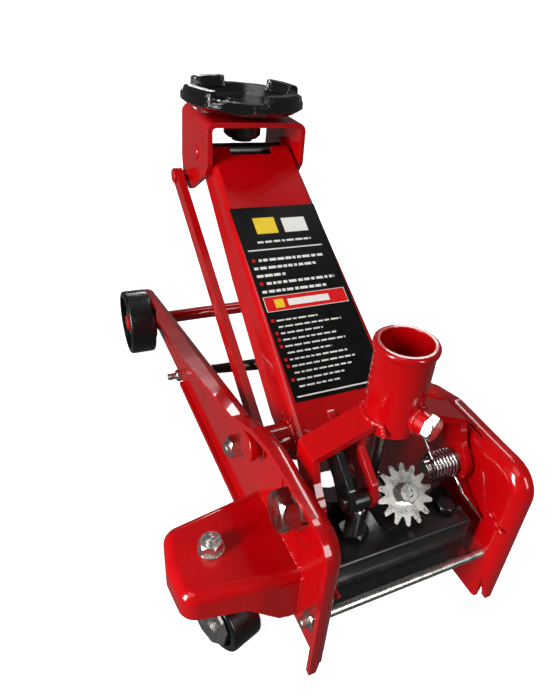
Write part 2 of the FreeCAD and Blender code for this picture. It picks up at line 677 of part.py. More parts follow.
def arm_profile():
    """Side view along the arm: round rear end, deep belly, slim ear at the head."""
    points = []
    for i in range(7):
        angle = math.radians(115 + 25 * i)
        points.append((21 * math.cos(angle), 21 * math.sin(angle)))
    points = [(s, min(n, ARM_TOP)) for s, n in points]
    points += [(30, -29), (ARM_LENGTH * 0.55, -25), (ARM_LENGTH - 8, -13)]
    for i in range(5):
        angle = math.radians(-70 + 32.5 * i)
        points.append((ARM_LENGTH + 14 * math.cos(angle), 14 * math.sin(angle)))
    points += [(ARM_LENGTH + 4, ARM_TOP)]
    return [arm_point(s, n) for s, n in points]


def arm_wedge(inset, top):
    """Block under the arm's top face, narrower at the head; inset by the sheet."""
    rear, head = ARM_HALF_REAR - inset, ARM_HALF_HEAD - inset
    s0, s1 = -30.0, ARM_LENGTH + 20.0
    corners = [(-rear, s0), (rear, s0), (head, s1), (-head, s1), (-rear, s0)]
    points = []
    for x, s in corners:
        y, z = arm_point(s, -60)
        points.append(V(x, y, z))
    y0, z0 = arm_point(0, -60)
    y1, z1 = arm_point(0, top)
    block = Part.Face(Part.makePolygon(points)).extrude(V(0, y1 - y0, z1 - z0))
    long_top = [
        e for e in block.Edges
        if e.Length > 300 and abs(arm_height(e.CenterOfMass) - top) < 0.1
    ]
    return block.makeFillet(ARM_BEND_R - inset, long_top)


def arm_height(point):
    angle = math.radians(REST_ANGLE)
    return (point.z - ARM_Z) * math.cos(angle) - (point.y - ARM_Y) * math.sin(angle)


def lift_arm():
    """Pressed channel, open underneath, with the ram lever welded inside."""
    outer = arm_wedge(0.0, ARM_TOP)
    inner = arm_wedge(ARM_T, ARM_TOP - ARM_T)
    channel = outer.cut(inner).common(yz_prism(arm_profile(), -60, 60))
    for start, half in ((MOUTH_S, 60.0), (NOTCH_S, NOTCH_HALF)):
        opening = [(start, 40), (start, 10), (start + 60, 10), (start + 60, 40)]
        channel = channel.cut(yz_prism([arm_point(s, n) for s, n in opening], -half, half))
    lever = [lever_plate(14.0, 20.0), lever_plate(-20.0, -14.0)]
    cross = arm_cross_wall()
    body = fused([channel, cross] + lever)
    body = body.cut(x_rod(SHAFT_R, -60, 60, ARM_Y, ARM_Z))
    body = body.cut(x_rod(HEAD_PIN_R + FIT, -60, 60, HEAD_Y, HEAD_Z))
    y, z = roller_place()
    return body.cut(x_rod(5, -30, 30, y, z))


def arm_cross_wall():
    """Stiffener across the channel just ahead of the arm shaft."""
    wall = [(34, ARM_TOP - 2), (38, ARM_TOP - 2), (38, -22), (34, -22)]
    half = ARM_HALF_REAR - ARM_T - 0.1
    return yz_prism([arm_point(s, n) for s, n in wall], -half, half)


def lever_plate(x0, x1):
    """Cam-shaped lever plate from the arm shaft down to the ram roller."""
    y, z = roller_place()
    around_shaft = x_rod(20, x0, x1, ARM_Y, ARM_Z)
    around_roller = x_rod(8.5, x0, x1, y, z)
    length = math.hypot(y - ARM_Y, z - ARM_Z)
    uy, uz = (y - ARM_Y) / length, (z - ARM_Z) / length
    web = [
        (ARM_Y - 19.5 * uz, ARM_Z + 19.5 * uy),
        (ARM_Y + 19.5 * uz, ARM_Z - 19.5 * uy),
        (y + 8.3 * uz, z - 8.3 * uy),
        (y - 8.3 * uz, z + 8.3 * uy),
    ]
    foot = [arm_point(s, n) for s, n in [(0, 12), (37, 12), (37, -20), (0, -20)]]
    return fused([around_shaft, around_roller, yz_prism(web, x0, x1), yz_prism(foot, x0, x1)])


def arm_shaft():
    """Shaft through both plates, stepped down for its clips, with a thick cap outside."""
    shaft = x_rod(SHAFT_R, -PLATE_OUT - 0.6, PLATE_OUT + 0.6, ARM_Y, ARM_Z)
    ends = x_rod(SHAFT_END_R, -SHAFT_END + 1, SHAFT_END - 1, ARM_Y, ARM_Z)
    cap = x_rod(SHAFT_CAP_R, SHAFT_END - 6, SHAFT_END, ARM_Y, ARM_Z)
    cap = cap.makeFillet(1.2, [e for e in cap.Edges if e.Closed])
    return fused([shaft, ends, cap, mirrored(cap)])


def shaft_clips():
    """Open retaining rings outside the plates."""
    x0 = PLATE_OUT + 0.6
    ring = x_ring(13.4, SHAFT_END_R, x0, x0 + 1.5, ARM_Y, ARM_Z)
    return both(ring.cut(box(x0 - 1, x0 + 3, ARM_Y - 3, ARM_Y + 3, ARM_Z - 20, ARM_Z)))


def arm_panel():
    """Thin information panel on the arm's top face."""
    half = PANEL_HALF
    y0, z0 = arm_point(PANEL_S0, ARM_TOP)
    y1, z1 = arm_point(PANEL_S1, ARM_TOP)
    up_y, up_z = arm_point(PANEL_S0, ARM_TOP + PANEL_T)
    wire = Part.makePolygon([
        V(-half, y0, z0), V(half, y0, z0), V(half, y1, z1), V(-half, y1, z1), V(-half, y0, z0),
    ])
    return Part.Face(wire).extrude(V(0, up_y - y0, up_z - z0))


def head_profile():
    return [
        (HEAD_Y - 41, HEAD_Z + HEAD_TOP),
        (HEAD_Y + 50, HEAD_Z + HEAD_TOP),
        (HEAD_Y + 56, HEAD_Z - 18),
        (HEAD_Y + 51, HEAD_Z - 46),
        (HEAD_Y + 26, HEAD_Z - 48),
        (HEAD_Y - 32, HEAD_Z - 15),
        (HEAD_Y - 41, HEAD_Z - 3),
    ]


def head_bracket():
    """Bent plate like an upturned U that carries the saddle and the link pins."""
    outer = yz_prism(head_profile(), -HEAD_HALF, HEAD_HALF)
    outer = round_edges(outer, 8, lambda e, c: along_x(e) and c.z < HEAD_Z)
    top_edges = [
        e for e in outer.Edges
        if abs(e.CenterOfMass.z - HEAD_Z - HEAD_TOP) < 0.1 and abs(e.CenterOfMass.x) > 50
    ]
    outer = outer.makeFillet(9, top_edges)
    inside = box(
        -HEAD_HALF + HEAD_T, HEAD_HALF - HEAD_T, HEAD_Y - 80, HEAD_Y + 90,
        HEAD_Z - 80, HEAD_Z + HEAD_TOP - HEAD_T,
    )
    inside = inside.makeFillet(4, [
        e for e in inside.Edges if e.Length > 160 and e.CenterOfMass.z > HEAD_Z
    ])
    body = outer.cut(inside)
    body = body.cut(x_rod(HEAD_PIN_R, -60, 60, HEAD_Y, HEAD_Z))
    body = body.cut(x_rod(LINK_PIN_R, -60, 60, HEAD_Y + LINK_DY, HEAD_Z + LINK_DZ))
    stem_y = HEAD_Y + SADDLE_DY
    return body.cut(rod(15 + FIT, (0, stem_y, HEAD_Z), (0, stem_y, HEAD_Z + 60)))


def head_pin():
    return x_rod(HEAD_PIN_R, -HEAD_HALF + 1, HEAD_HALF - 1, HEAD_Y, HEAD_Z)


def head_pin_caps():
    """Rivet heads that close the pin's two ends."""
    cap = x_rod(HEAD_PIN_R, HEAD_HALF - 1, HEAD_HALF + 1.4, HEAD_Y, HEAD_Z)
    return both(cap.makeChamfer(0.8, [e for e in cap.Edges if e.CenterOfMass.x > HEAD_HALF + 1]))


def link_top_pins():
    """Headed pins that hold the links to the head bracket."""
    y, z = HEAD_Y + LINK_DY, HEAD_Z + LINK_DZ
    pin = x_rod(LINK_PIN_R, HEAD_HALF - HEAD_T, LINK_IN + LINK_T + 2.2, y, z)
    head = x_rod(8.0, LINK_IN + LINK_T + GAP, LINK_IN + LINK_T + 2.2, y, z)
    head = head.makeChamfer(1.2, [e for e in head.Edges if e.CenterOfMass.x > LINK_IN + LINK_T + 2])
    return both(fused([pin, head]))


def link_bar():
    """Right-hand link: straight bar with round ends."""
    y0, z0 = ARM_Y + LINK_DY, ARM_Z + LINK_DZ
    y1, z1 = HEAD_Y + LINK_DY, HEAD_Z + LINK_DZ
    x0, x1 = LINK_IN, LINK_IN + LINK_T
    angle = math.radians(REST_ANGLE)
    ny, nz = -math.sin(angle) * LINK_HALF, math.cos(angle) * LINK_HALF
    web = [(y0 + ny, z0 + nz), (y1 + ny, z1 + nz), (y1 - ny, z1 - nz), (y0 - ny, z0 - nz)]
    ends = [x_rod(LINK_HALF, x0, x1, y0, z0), x_rod(LINK_HALF, x0, x1, y1, z1)]
    bar = fused([yz_prism(web, x0, x1)] + ends)
    bar = bar.cut(x_rod(LINK_PIN_R + FIT, x0 - 1, x1 + 1, y0, z0))
    return bar.cut(x_rod(LINK_PIN_R + 0.35, x0 - 1, x1 + 1, y1, z1))


def ring_of(profile, angle=360.0):
    """Outline of (radius, height) points, turned about the saddle's axis."""
    y, z = HEAD_Y + SADDLE_DY, HEAD_Z + HEAD_TOP + GAP
    points = [V(radius, y, z + height) for radius, height in profile + profile[:1]]
    return Part.Face(Part.makePolygon(points)).revolve(V(0, y, z), Z_AXIS, angle)


def saddle():
    """Cast dish on a sloping underside, with four raised lugs, scalloped between them."""
    y, z = HEAD_Y + SADDLE_DY, HEAD_Z + HEAD_TOP + GAP
    rim = SADDLE_H - GAP - 7.0
    dish = ring_of([
        (0, 0), (30, 0), (57, 6.5), (SADDLE_R, 11), (SADDLE_R, rim - 2), (SADDLE_R - 2, rim),
        (54, rim), (47, 8.5), (0, 8.5),
    ])
    top = SADDLE_H - GAP
    lug_outline = [
        (50, rim - 3), (SADDLE_R, rim - 3), (SADDLE_R - 0.5, top - 2), (SADDLE_R - 2.5, top), (53, top),
    ]
    pieces = [dish]
    for i in range(4):
        lug = ring_of(lug_outline, 38.0)
        lug.rotate(V(0, y, z), Z_AXIS, SADDLE_TURN + 90 * i - 19)
        pieces.append(lug)
    body = fused(pieces)
    for i in range(4):
        angle = math.radians(SADDLE_TURN + 45 + 90 * i)
        reach = SADDLE_R + 62.0
        centre = V(reach * math.cos(angle), y + reach * math.sin(angle), z - 5)
        body = body.cut(Part.makeCylinder(66, 60, centre))
    return body


def saddle_stem():
    """Stem that turns in the head bracket, with a wide boss under the plate."""
    y = HEAD_Y + SADDLE_DY
    under = HEAD_Z + HEAD_TOP - HEAD_T
    low = under - BOSS_DROP
    stem = rod(15, (0, y, low + 1), (0, y, HEAD_Z + HEAD_TOP + GAP))
    boss = rod(BOSS_R, (0, y, low), (0, y, under - GAP))
    boss = boss.makeChamfer(3.0, [e for e in boss.Edges if e.CenterOfMass.z < low + 1 and e.Closed])
    spigot = rod(11, (0, y, low - 3.5), (0, y, low + 1))
    return fused([stem, boss, spigot])


# ---------------------------------------------------------------- handle yoke

def handle_socket():
    """Tube for the handle with a rolled rim and a boss for the clamp bolt."""
    y = SOCKET_Y
    outer = rod(SOCKET_R, (0, y, SOCKET_BOTTOM), (0, y, SOCKET_TOP - 1))
    rim = rod(SOCKET_RIM_R, (0, y, SOCKET_TOP - 6), (0, y, SOCKET_TOP))
    rim = rim.makeFillet(2.4, [e for e in rim.Edges if e.Closed])
    boss = clamp_rod(CLAMP_BOSS_R, 20, CLAMP_BOSS_END)
    body = fused([outer, rim, boss])
    body = body.cut(rod(SOCKET_BORE_R, (0, y, SOCKET_BOTTOM - 1), (0, y, SOCKET_TOP + 1)))
    body = body.cut(clamp_rod(CLAMP_R, 10, 40))
    lip = [e for e in body.Edges if e.Closed and abs(e.CenterOfMass.z - SOCKET_TOP) < 0.1]
    return body.makeFillet(0.9, lip[:1])


def clamp_direction():
    turn = math.radians(CLAMP_TURN)
    return V(math.sin(turn), -math.cos(turn), 0)


def clamp_rod(radius, start, end):
    """Cylinder on the clamp bolt's axis, measured out from the socket's axis."""
    out = clamp_direction()
    return Part.makeCylinder(radius, end - start, V(0, SOCKET_Y, CLAMP_Z) + out * start, out)


def clamp_bolt():
    out = clamp_direction()
    under = V(0, SOCKET_Y, CLAMP_Z) + out * CLAMP_BOSS_END
    head = hexagon(CLAMP_FLATS, tuple(under), tuple(under + out * CLAMP_HEAD))
    return fused([head, clamp_rod(CLAMP_R, SOCKET_BORE_R + 0.5, CLAMP_BOSS_END + 1)])


def yoke_strap():
    """Bent strap over the hydraulic unit, welded to the socket, with its two arms."""
    t = YOKE_ARM_T
    out = YOKE_ARM_IN + t
    line = [
        (0, STRAP_CROWN_Z), (20, STRAP_CROWN_Z), (out - 1, YOKE_SHOULDER_Z), (out, YOKE_SHOULDER_Z - 3),
        (out, YOKE_SHOULDER_Z - 14), (out - t, YOKE_SHOULDER_Z - 14),
        (out - t, YOKE_SHOULDER_Z - 4), (19, STRAP_CROWN_Z - t), (0, STRAP_CROWN_Z - t),
    ]
    wire = Part.makePolygon([V(x, STRAP_Y0, z) for x, z in line + line[:1]])
    half = Part.Face(wire).extrude(V(0, STRAP_Y1 - STRAP_Y0, 0))
    arm = yoke_arm()
    body = fused([half, arm, mirrored(half), mirrored(arm)])
    return body.cut(rod(SOCKET_R, (0, SOCKET_Y, 150), (0, SOCKET_Y, 300)))


def yoke_arm():
    x0, x1 = YOKE_ARM_IN, YOKE_ARM_IN + YOKE_ARM_T
    r = 17.0
    blade = [
        (STRAP_Y0, YOKE_SHOULDER_Z - 3), (STRAP_Y1, YOKE_SHOULDER_Z - 3),
        (STRAP_Y1, YOKE_SHOULDER_Z - 18), (r * 0.92, YOKE_Z + r * 0.4),
        (0, YOKE_Z), (-r * 0.94, YOKE_Z + r * 0.35), (STRAP_Y0 - 6, YOKE_SHOULDER_Z - 18),
    ]
    arm = fused([yz_prism(blade, x0, x1), x_rod(r, x0, x1, 0, YOKE_Z)])
    return arm.cut(x_rod(YOKE_BOLT_R + FIT, x0 - 1, x1 + 1, 0, YOKE_Z))


def roller_cheek(x0, x1):
    """Curved cheek that hangs from the strap and holds the pump roller."""
    top = STRAP_CROWN_Z - 20
    ry, rz = pump_roller_place()
    outline = [
        (STRAP_Y0 + 1, top), (STRAP_Y1 - 4, top), (STRAP_Y1 - 8, top - 14),
        (4, rz + 8), (ry + 9, rz - 4), (ry + 2, rz - 9), (ry - 6, rz - 7), (ry - 9, rz + 2),
        (ry - 4, rz + 16),
    ]
    cheek = yz_prism(outline, x0, x1)
    cheek = cheek.makeFillet(4, [e for e in cheek.Edges if along_x(e) and e.CenterOfMass.z < top - 2])
    return cheek.cut(x_rod(4, x0 - 1, x1 + 1, ry, rz))


def pump_roller_place():
    return PUMP_Y, PUMP_ROLLER_Z


def pump_cheeks():
    """Pair of cheeks welded under the strap, either side of the pump's roller."""
    around = rod(SOCKET_R, (0, SOCKET_Y, 150), (0, SOCKET_Y, 300)).fuse(yoke_strap())
    cheeks = []
    for x0, rise in ((LEFT_CHEEK_X, 4.0), (RIGHT_CHEEK_X, 12.0)):
        top = STRAP_CROWN_Z - 21
        neck = box(x0, x0 + CHEEK_T, STRAP_Y0 + 1, STRAP_Y1 - 4, top, top + rise)
        cheeks.append(fused([roller_cheek(x0, x0 + CHEEK_T), neck]).cut(around))
    return Part.Compound(cheeks)


def pump_roller():
    y, z = pump_roller_place()
    x0, x1 = LEFT_CHEEK_X + CHEEK_T + 0.5, RIGHT_CHEEK_X - 0.5
    return x_ring(PUMP_ROLLER_R, 4, x0, x1, y, z)


def pump_roller_pin():
    y, z = pump_roller_place()
    x0, x1 = LEFT_CHEEK_X - 1.5, RIGHT_CHEEK_X + CHEEK_T + 1.5
    return x_rod(4, x0, x1, y, z)


# --------------------------------------------------------------------- springs

def torsion_spring():
    """Return spring round the right yoke bolt, as a plain sleeve of its coils."""
    return x_ring(TORSION_R, TORSION_BORE_R, TORSION_X0, TORSION_X1, 0, YOKE_Z)


def spring_pin_place():
    return arm_point(75, -15)


def return_springs():
    """Two long springs from the arm down to the front tie bolt, as plain bars."""
    y, z = spring_pin_place()
    length = math.hypot(TIE_BOLT_Y - y, TIE_BOLT_Z - z)
    uy, uz = (TIE_BOLT_Y - y) / length, (TIE_BOLT_Z - z) / length
    hook = 12.0
    top = (SPRING_X, y + hook * uy, z + hook * uz)
    low = (SPRING_X, TIE_BOLT_Y - hook * uy, TIE_BOLT_Z - hook * uz)
    return both(rod(6, top, low))


def spring_pin():
    y, z = spring_pin_place()
    return x_rod(4, -46.4, 46.4, y, z)


os.makedirs("parts", exist_ok=True)

plate = side_plate()
bracket = caster_bracket()
wheel = front_wheel()
link = link_bar()
fork = caster_fork()
small_wheel = caster_wheel()
small_axle = caster_axle()

save("right_side_plate", plate)
save("left_side_plate", mirrored(plate))
save("right_caster_bracket", bracket)
save("left_caster_bracket", mirrored(bracket))
save("right_front_wheel", wheel)
save("left_front_wheel", mirrored(wheel))
save("right_link", link)
save("left_link", mirrored(link))
save("right_caster_fork", fork)
save("left_caster_fork", mirrored(fork))
save("right_caster_wheel", small_wheel)
save("left_caster_wheel", mirrored(small_wheel))
save("right_caster_axle", small_axle)
save("left_caster_axle", mirrored(small_axle))

NODES = {
    "front_axle": front_axle,
    "axle_washers": axle_washers,
    "rear_tie_rod": rear_tie_rod,
    "tie_rod_nuts": tie_rod_nuts,
    "front_tie_bolt": front_tie_bolt,
    "tie_bolt_nuts": tie_bolt_nuts,
    "yoke_bolts": yoke_bolts,
    "yoke_lock_washers": yoke_lock_washers,
    "yoke_spacers": yoke_spacers,
    "link_bolts": link_bolts,
    "link_nuts": link_nuts,
    "caster_bolts": caster_bolts,
    "caster_nuts": caster_nuts,
    "unit_base": unit_base,
    "ram_cylinder": ram_cylinder,
    "cylinder_gland": gland_ring,
    "pump_gland": pump_gland,
    "pump_plunger": pump_plunger,
    "valve_stem": valve_stem,
    "valve_gear": valve_gear,
    "gear_nut": gear_nut,
    "filler_plug": filler_plug,
    "unit_bolts": unit_bolts,
    "guide_rod": guide_rod,
    "ram": ram,
    "ram_roller": ram_roller,
    "roller_pin": roller_pin,
    "lift_arm": lift_arm,
    "arm_shaft": arm_shaft,
    "shaft_clips": shaft_clips,
    "arm_panel": arm_panel,
    "head_bracket": head_bracket,
    "head_pin": head_pin,
    "head_pin_caps": head_pin_caps,
    "link_top_pins": link_top_pins,
    "saddle": saddle,
    "saddle_stem": saddle_stem,
    "handle_socket": handle_socket,
    "clamp_bolt": clamp_bolt,
    "yoke_strap": yoke_strap,
    "pump_cheeks": pump_cheeks,
    "pump_roller": pump_roller,
    "pump_roller_pin": pump_roller_pin,
    "torsion_spring": torsion_spring,
    "return_springs": return_springs,
    "spring_pin": spring_pin,
}
for node, make in NODES.items():
    save(node, make())
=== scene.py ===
import json
import math
import random

import bmesh
import bpy
from mathutils import Matrix, Vector


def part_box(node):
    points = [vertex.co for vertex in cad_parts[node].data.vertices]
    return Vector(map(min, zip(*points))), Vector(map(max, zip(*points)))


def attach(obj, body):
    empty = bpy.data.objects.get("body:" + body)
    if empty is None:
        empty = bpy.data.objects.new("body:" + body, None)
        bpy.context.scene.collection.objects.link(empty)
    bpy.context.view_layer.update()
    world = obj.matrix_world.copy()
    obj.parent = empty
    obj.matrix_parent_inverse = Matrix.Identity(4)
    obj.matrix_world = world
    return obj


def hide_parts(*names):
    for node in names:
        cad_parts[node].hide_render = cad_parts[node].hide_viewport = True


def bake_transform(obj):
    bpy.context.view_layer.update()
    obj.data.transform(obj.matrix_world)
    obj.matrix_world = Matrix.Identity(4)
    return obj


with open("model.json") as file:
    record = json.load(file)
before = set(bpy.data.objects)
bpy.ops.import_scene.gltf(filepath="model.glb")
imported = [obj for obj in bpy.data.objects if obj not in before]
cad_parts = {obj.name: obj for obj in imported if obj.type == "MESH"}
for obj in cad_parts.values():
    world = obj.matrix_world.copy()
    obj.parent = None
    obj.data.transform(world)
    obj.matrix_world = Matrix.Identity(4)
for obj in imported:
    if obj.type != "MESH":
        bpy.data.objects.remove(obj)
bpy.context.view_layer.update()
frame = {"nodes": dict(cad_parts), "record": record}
RECORD = frame["record"]
JOINTS = {j["name"]: j for j in RECORD["behaviour"]["joints"]}
MM = 0.001
EDGE_RADIUS = 0.0006
PLATE_IN, PLATE_OUT = 74 * MM, 79 * MM
# painted shade on the pump's cheeks: near black left of this X
PUMP_MIDDLE_X = -38 * MM
# legs of the torsion spring, in millimetres from the yoke's pivot
STRAP_LEG = [(36, 16, 46), (36.5, 14, 38), (38, 12, 20)]
PLATE_LEG = [(60.5, -13, -9), (62.5, -22, -18), (72.5, -41, -32.5)]
# weld spots on the plates' inner faces: Y from the yoke's pivot, Z from the floor
TAB_WELDS = [(-43, 117), (-50, 114), (-56, 112)]
# the floor's rings, as radius and height in metres
FLOOR_RINGS = ((9, -0.0005), (14, 0.6), (18, 3), (20, 8), (20, 14))
FLOOR_SIDES = 64
# places of the first rows of marks along the panel
FIRST_ROWS = [163, 154.5, 146, 137.5, 129]


# ------------------------------------------------------------ places in the frame

def middle(node):
    lo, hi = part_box(node)
    return (Vector(lo) + Vector(hi)) / 2


def joint_place(name):
    return Vector(JOINTS[name]["pos_m"])


ARM_PIVOT = joint_place("lift_hinge")
HEAD_PIVOT = joint_place("head_hinge")
YOKE_PIVOT = joint_place("yoke_hinge")
ALONG = (HEAD_PIVOT - ARM_PIVOT).normalized()
OUT_OF_ARM = Vector((0, -ALONG.z, ALONG.y))
ARM_TOP = 18 * MM


def on_arm(x, s, n):
    """Point x across, s along the lift arm and n above its pin line."""
    return ARM_PIVOT + Vector((x, 0, 0)) + ALONG * s + OUT_OF_ARM * n


# ---------------------------------------------------------------------- materials

class Nodes:
    """Short hand for building one material's node tree."""

    def __init__(self, name, color, metallic, roughness):
        self.material = bpy.data.materials.new(name)
        self.material.use_nodes = True
        self.tree = self.material.node_tree
        self.shader = self.tree.nodes["Principled BSDF"]
        self.set("Base Color", (*color, 1))
        self.set("Metallic", metallic)
        self.set("Roughness", roughness)
        self.place = self.add("ShaderNodeTexCoord")

    def add(self, kind, **values):
        node = self.tree.nodes.new(kind)
        for key, value in values.items():
            setattr(node, key, value)
        return node

    def set(self, socket, value):
        self.shader.inputs[socket].default_value = value

    def link(self, a, b):
        self.tree.links.new(a, b)

    def noise(self, scale, detail=3.0, roughness=0.5, stretch=None):
        source = self.place.outputs["Object"]
        if stretch:
            mapping = self.add("ShaderNodeMapping")
            mapping.inputs["Scale"].default_value = stretch
            self.link(source, mapping.inputs["Vector"])
            source = mapping.outputs["Vector"]
        node = self.add("ShaderNodeTexNoise")
        node.inputs["Scale"].default_value = scale
        node.inputs["Detail"].default_value = detail
        node.inputs["Roughness"].default_value = roughness
        self.link(source, node.inputs["Vector"])
        return node.outputs["Fac"]

    def ramp(self, source, stops):
        node = self.add("ShaderNodeValToRGB")
        ramp = node.color_ramp
        while len(ramp.elements) < len(stops):
            ramp.elements.new(0.5)
        for element, (position, color) in zip(ramp.elements, stops):
            element.position = position
            element.color = color if len(color) == 4 else (*color, 1)
        self.link(source, node.inputs["Fac"])
        return node.outputs["Color"]

    def grey(self, source, stops):
        return self.ramp(source, [(p, (g, g, g)) for p, g in stops])

    def mix(self, factor, a, b):
        node = self.add("ShaderNodeMix", data_type="RGBA")
        for socket, value in (
            (node.inputs["Factor"], factor), (node.inputs["A"], a), (node.inputs["B"], b),
        ):
            if isinstance(value, (tuple, float, int)):
                socket.default_value = (*value, 1) if isinstance(value, tuple) else value
            else:
                self.link(value, socket)
        return node.outputs["Result"]

    def bump(self, layers):
        """Layers of (height, strength, distance in metres), stacked on rounded edges."""
        bevel = self.add("ShaderNodeBevel", samples=4)
        bevel.inputs["Radius"].default_value = EDGE_RADIUS
        previous = bevel.outputs["Normal"]
        for height, strength, distance in layers:
            node = self.add("ShaderNodeBump")
            node.inputs["Strength"].default_value = strength
            node.inputs["Distance"].default_value = distance
            self.link(height, node.inputs["Height"])
            self.link(previous, node.inputs["Normal"])
            previous = node.outputs["Normal"]
        self.link(previous, self.shader.inputs["Normal"])

    def edge_highlight_mask(self, radius, low, high):
        """Grey factor that rises on sharp edges; the materials use it to mix in a painted edge
        highlight.
        """
        bevel = self.add("ShaderNodeBevel", samples=4)
        bevel.inputs["Radius"].default_value = radius
        normal = self.add("ShaderNodeNewGeometry")
        dot = self.add("ShaderNodeVectorMath", operation="DOT_PRODUCT")
        self.link(bevel.outputs["Normal"], dot.inputs[0])
        self.link(normal.outputs["Normal"], dot.inputs[1])
        return self.grey(dot.outputs["Value"], [(low, 1.0), (high, 0.0)])


def red_enamel():
    """Thick glossy enamel: orange peel, slow colour drift, dust, and a painted highlight of
    brighter red along thin edges.
    """
    m = Nodes("red_enamel", (0.4, 0.0006, 0.002), 0.0, 0.2)
    m.set("Specular IOR Level", 0.2)
    m.set("Coat Weight", 0.75)
    m.set("Coat Roughness", 0.03)
    drift = m.ramp(m.noise(9, 4), [(0.3, (0.36, 0.0005, 0.0015)), (0.7, (0.47, 0.001, 0.003))])
    dust = m.grey(m.noise(260, 5, 0.7), [(0.64, 0.0), (0.85, 0.05)])
    dusty = m.mix(dust, drift, (0.5, 0.05, 0.045))
    # painted highlight: rounded edges are mixed towards a brighter red
    painted_edge_highlight = m.edge_highlight_mask(0.0012, 0.8, 0.97)
    m.link(m.mix(painted_edge_highlight, dusty, (0.5, 0.008, 0.01)), m.shader.inputs["Base Color"])
    m.link(m.grey(m.noise(40, 4), [(0.3, 0.16), (0.75, 0.3)]), m.shader.inputs["Roughness"])
    m.bump([(m.noise(210, 2), 0.10, 0.0006), (m.noise(34, 2), 0.2, 0.0016)])
    return m.material


def enamel_with_painted_shade():
    """The same red, with the part towards the pump's outer side coloured near black as painted
    shade for the shadow it sits in.
    """
    m = Nodes("enamel_with_painted_shade", (0.4, 0.001, 0.003), 0.0, 0.24)
    m.set("Coat Weight", 0.5)
    m.set("Coat Roughness", 0.05)
    # painted shade: left of PUMP_MIDDLE_X the cheek is coloured near black instead of red
    split = m.add("ShaderNodeSeparateXYZ")
    m.link(m.place.outputs["Object"], split.inputs[0])
    side = m.add("ShaderNodeMath", operation="GREATER_THAN")
    side.inputs[1].default_value = PUMP_MIDDLE_X
    m.link(split.outputs["X"], side.inputs[0])
    drift = m.ramp(m.noise(30, 4), [(0.3, (0.34, 0.0008, 0.002)), (0.7, (0.44, 0.0014, 0.004))])
    m.link(m.mix(side.outputs[0], (0.006, 0.006, 0.006), drift), m.shader.inputs["Base Color"])
    m.link(m.grey(m.noise(40, 4), [(0.3, 0.18), (0.75, 0.34)]), m.shader.inputs["Roughness"])
    m.bump([(m.noise(210, 2), 0.12, 0.0006), (m.noise(34, 2), 0.2, 0.0016)])
    return m.material


def black_enamel(name, roughness, grain):
    m = Nodes(name, (0.003, 0.003, 0.0035), 0.0, roughness)
    m.set("Coat Weight", 1.0 if roughness < 0.2 else 0.3)
    m.set("Coat Roughness", roughness * 0.4)
    speck = m.grey(m.noise(420, 6, 0.7), [(0.6, 0.0), (0.88, 0.3)])
    # painted highlight: sharp edges are mixed towards a lighter grey
    painted_edge_highlight = m.edge_highlight_mask(0.0012, 0.8, 0.98)
    speckled = m.mix(speck, (0.003, 0.003, 0.0035), (0.018, 0.018, 0.018))
    m.link(m.mix(painted_edge_highlight, speckled, (0.03, 0.03, 0.03)), m.shader.inputs["Base Color"])
    m.link(
        m.grey(m.noise(60, 5), [(0.3, roughness * 0.7), (0.7, roughness * 1.5)]),
        m.shader.inputs["Roughness"],
    )
    m.bump([(m.noise(300, 4), grain, 0.0006), (m.noise(70, 3), grain, 0.0014)])
    return m.material


def plated(name, color, roughness, warm):
    """Plated steel: fine brushing, slow tint of the passivation, rub marks."""
    m = Nodes(name, color, 1.0, roughness)
    tint = m.ramp(m.noise(55, 4), [(0.3, color), (0.55, warm), (0.75, color)])
    rub = m.grey(m.noise(900, 3, 0.6), [(0.4, 0.0), (0.8, 0.2)])
    dark = tuple(c * 0.7 for c in color)
    m.link(m.mix(rub, tint, dark), m.shader.inputs["Base Color"])
    m.link(
        m.grey(m.noise(120, 4), [(0.3, roughness * 0.75), (0.75, roughness * 1.45)]),
        m.shader.inputs["Roughness"],
    )
    m.bump([(m.noise(700, 2), 0.03, 0.0003), (m.noise(120, 2), 0.05, 0.0006)])
    return m.material


def moulded_black():
    """Moulded nylon of the wheels: glossy with a faint grain and a scuffed tread."""
    m = Nodes("moulded_black", (0.004, 0.004, 0.0045), 0.0, 0.24)
    m.set("Coat Weight", 0.3)
    m.set("Coat Roughness", 0.1)
    scuff = m.grey(m.noise(120, 6, 0.7), [(0.55, 0.0), (0.85, 0.4)])
    # painted highlight: sharp edges of the wheels are mixed towards a lighter grey
    painted_edge_highlight = m.edge_highlight_mask(0.0015, 0.8, 0.98)
    scuffed = m.mix(scuff, (0.004, 0.004, 0.0045), (0.02, 0.02, 0.019))
    m.link(m.mix(painted_edge_highlight, scuffed, (0.03, 0.03, 0.03)), m.shader.inputs["Base Color"])
    m.link(m.grey(m.noise(90, 5), [(0.3, 0.18), (0.7, 0.36)]), m.shader.inputs["Roughness"])
    m.bump([(m.noise(500, 3), 0.05, 0.0004), (m.noise(60, 2), 0.06, 0.001)])
    return m.material


def film(name, color, roughness=0.3):
    """Printed film of the panel and its marks."""
    m = Nodes(name, color, 0.0, roughness)
    m.set("Specular IOR Level", 0.15)
    fade = m.grey(m.noise(180, 5), [(0.35, 0.0), (0.8, 0.3)])
    faded = tuple(c * 0.85 + 0.001 for c in color)
    m.link(m.mix(fade, color, faded), m.shader.inputs["Base Color"])
    sheen = m.grey(m.noise(70, 3), [(0.3, roughness * 0.8), (0.7, roughness * 1.3)])
    m.link(sheen, m.shader.inputs["Roughness"])
    m.bump([(m.noise(240, 2), 0.05, 0.0004)])
    return m.material


